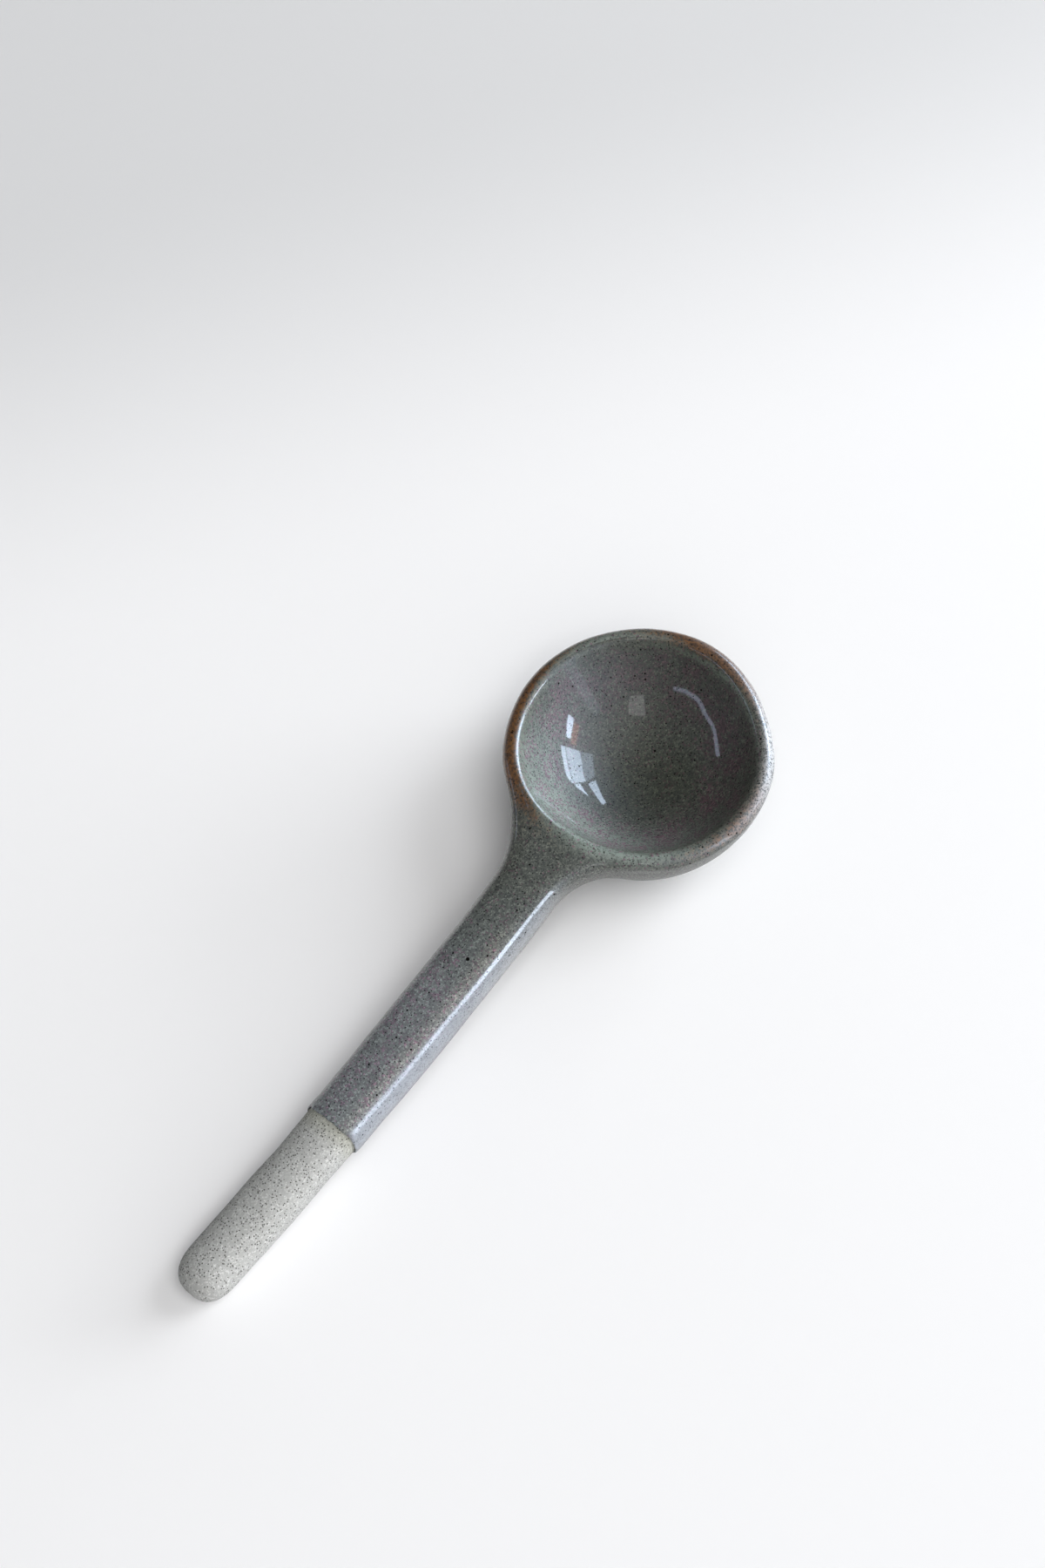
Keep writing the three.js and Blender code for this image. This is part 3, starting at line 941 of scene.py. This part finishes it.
glaze = makeGlazeFinish()
clay = makeClayFinish()
makeGlaze(glaze)
makeBowl(clay)
makeHandle(clay)
for hidden in ("neck_fillet", "slip_seam"):  # inside the join, so they keep their solids' shape
    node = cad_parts[hidden]
    node.data.materials.clear()
    node.data.materials.append(clay)

# Camera, from the photograph's viewing angle
view = {
    "place": (0.1847, 0.12362, 0.43969),
    "forward": (-0.35346, -0.2849, -0.89101),
    "up": (-0.69371, -0.55916, 0.45399),
    "lens": 65,
    "sensor": 36,
}


def makeCamera():
    data = bpy.data.cameras.new("camera")
    data.lens = view["lens"]
    data.sensor_fit = "VERTICAL"
    data.sensor_height = view["sensor"]
    camera = bpy.data.objects.new("camera", data)
    bpy.context.scene.collection.objects.link(camera)
    back = -Vector(view["forward"]).normalized()
    right = Vector(view["up"]).cross(back).normalized()
    up = back.cross(right)
    turned = Matrix((right, up, back)).transposed().to_4x4()
    camera.matrix_world = Matrix.Translation(view["place"]) @ turned
    bpy.context.scene.camera = camera
    print("camera set")


makeCamera()

# Lamps, in metres. Turns are degrees from the picture's right towards its far side. The upright banks stand
# 1 m out: the first lights the spoon from the right, and the mirrored ones only show in the gloss. Their
# panels are left, right, low, high and strength.
picRight = Vector((-0.62756, 0.77857, 0))  # the picture's right and its far side, on the table
picAway = Vector((-0.77857, -0.62756, 0))
upward = Vector((0, 0, 1))
lampBanks = [
    {"turn": 11.5, "mirrored": False, "color": (0.95, 0.975, 1.0),
     "panels": [(-0.11, 0.5, 0.02, 0.4, 9.7), (-0.11, 0.5, 0.4, 0.8, 2.6), (-0.11, 0.5, 0.8, 1.42, 5.1),
                (0.57, 1.15, 0.02, 0.85, 3.0)]},
    {"turn": -1.5, "mirrored": True, "color": (0.8, 0.98, 1.22),
     "panels": [(0.28, 0.98, 0.36, 0.47, 12.0), (0.28, 0.98, 0.485, 0.8, 10.0),
                (0.28, 0.98, 0.815, 1.12, 3.2), (1.0, 1.75, 0.46, 0.6, 11.5),
                (1.05, 2.3, 0.85, 1.12, 9.5), (-0.19, 0.11, 0.47, 0.59, 18.0)]},
    {"turn": -34.5, "mirrored": True, "color": (0.85, 0.97, 1.15), "panels": [(-0.09, 0.09, 0.1, 1.0, 14.0)]},
    {"turn": -1.5, "mirrored": True, "color": (1.0, 0.4, 0.15), "panels": [(-0.15, 0.2, 0.6, 0.74, 3.0)]},
]

# A bent strip to the left, 1 m out, drawn in the gloss as an arc: its points are along and up
bentStrip = {
    "turn": 180,
    "mirrored": True,
    "color": (0.8, 0.92, 1.2),
    "points": [(-0.442, 0.4), (0.137, 0.511), (0.55, 0.7), (0.964, 0.979), (1.377, 1.348)],
    "wide": 0.075,
    "strength": 3.0,
}

# Square lamps that face the spoon: one overhead, one near the camera, and a dim one there for the gloss
softLamps = [
    {"turn": -60, "lift": 72, "away": 2.0, "size": 1.2, "strength": 3.2, "mirrored": False},
    {"turn": -90, "lift": 50, "away": 1.5, "size": 1.0, "strength": 0.85, "mirrored": False},
    {"turn": -89, "lift": 57, "away": 1.5, "size": 0.3, "strength": 1.8, "mirrored": True},
]
surround = {"turn": -35, "lift": 25, "dim": (0.1, 0.1, 0.1), "bright": (0.5, 0.5, 0.5)}


def addPanel(place, turned, wide, high, strength, color=(1, 1, 1)):
    # strength is the panel's brightness, whatever its size
    data = bpy.data.lights.new("panel", "AREA")
    data.shape = "RECTANGLE"
    data.size = wide
    data.size_y = high
    data.color = color
    data.energy = strength * pi * wide * high
    panel = bpy.data.objects.new("panel", data)
    bpy.context.scene.collection.objects.link(panel)
    panel.matrix_world = Matrix.Translation(place) @ turned.to_4x4()
    return panel


def toward(turn, lift):
    flat = picRight * cos(radians(turn)) + picAway * sin(radians(turn))
    return flat * cos(radians(lift)) + Vector((0, 0, sin(radians(lift))))


def addUpright(bank, left, right, low, high, size, strength, slant=0.0):
    # a panel midway between two corners of an upright bank, its size as length and width
    out = toward(bank["turn"], 0)
    along = toward(bank["turn"] + 90, 0)
    turned = Matrix((along, upward, out)).transposed() @ Matrix.Rotation(slant, 3, "Z")
    place = out + along * (left + right) / 2 + upward * (low + high) / 2
    panel = addPanel(place, turned, *size, strength, bank["color"])
    panel.visible_glossy = bank["mirrored"]
    panel.visible_diffuse = not bank["mirrored"]


def makeLight():
    for bank in lampBanks:
        for left, right, low, high, strength in bank["panels"]:
            addUpright(bank, left, right, low, high, (right - left, high - low), strength)
    points = bentStrip["points"]
    for (left, low), (right, high) in zip(points, points[1:]):
        size = hypot(right - left, high - low), bentStrip["wide"]
        slant = atan2(high - low, right - left)
        addUpright(bentStrip, left, right, low, high, size, bentStrip["strength"], slant)
    for lamp in softLamps:
        line = toward(lamp["turn"], lamp["lift"])
        turned = line.to_track_quat("Z", "Y").to_matrix()
        panel = addPanel(line * lamp["away"], turned, lamp["size"], lamp["size"], lamp["strength"])
        panel.visible_glossy = lamp["mirrored"]
    print("lamps set")


def makeSurround():
    # dim grey that brightens towards the picture's near right
    world = bpy.data.worlds.new("surround")
    world.use_nodes = True
    tree = world.node_tree
    line = tree.nodes.new("ShaderNodeTexCoord").outputs["Generated"]
    facing = {0: line, 1: toward(surround["turn"], surround["lift"])}
    share = addNode(tree, "VectorMath", facing, operation="DOT_PRODUCT").outputs["Value"]
    color = blend(tree, ramp(tree, share, 0.0, 1.0), surround["dim"], surround["bright"])
    tree.links.new(color, tree.nodes["Background"].inputs["Color"])
    bpy.context.scene.world = world
    print("surround set")


makeLight()
makeSurround()

# White table, with painted shade that darkens it towards the picture's far left
table = {
    "size": 3.0,
    "color": (0.945, 0.94, 0.945),
    "far": (0.72, 0.72, 0.725),
    "lean": 18,  # degrees from straight away to the left
    "start": 0.055,
    "end": 0.16,
    "roughness": 0.6,
}


def makeTable():
    bm = bmesh.new()
    bmesh.ops.create_grid(bm, x_segments=1, y_segments=1, size=table["size"] / 2 / mm)
    piece = meshObject("table", bm)
    piece.data.transform(Matrix.Scale(mm, 4))
    material, tree, shader, place = newMaterial("tableTop")
    line = toward(90 + table["lean"], 0)
    reach = addNode(tree, "VectorMath", {0: place, 1: line}, operation="DOT_PRODUCT").outputs["Value"]
    # painted shade: the table's colour darkens towards the far left
    color = blend(tree, ramp(tree, reach, table["start"], table["end"]), table["color"], table["far"])
    setShader(tree, shader, {"Base Color": color, "Roughness": table["roughness"]})
    piece.data.materials.append(material)
    print("table set")


makeTable()

scene = bpy.context.scene
scene.view_settings.view_transform = "Standard"
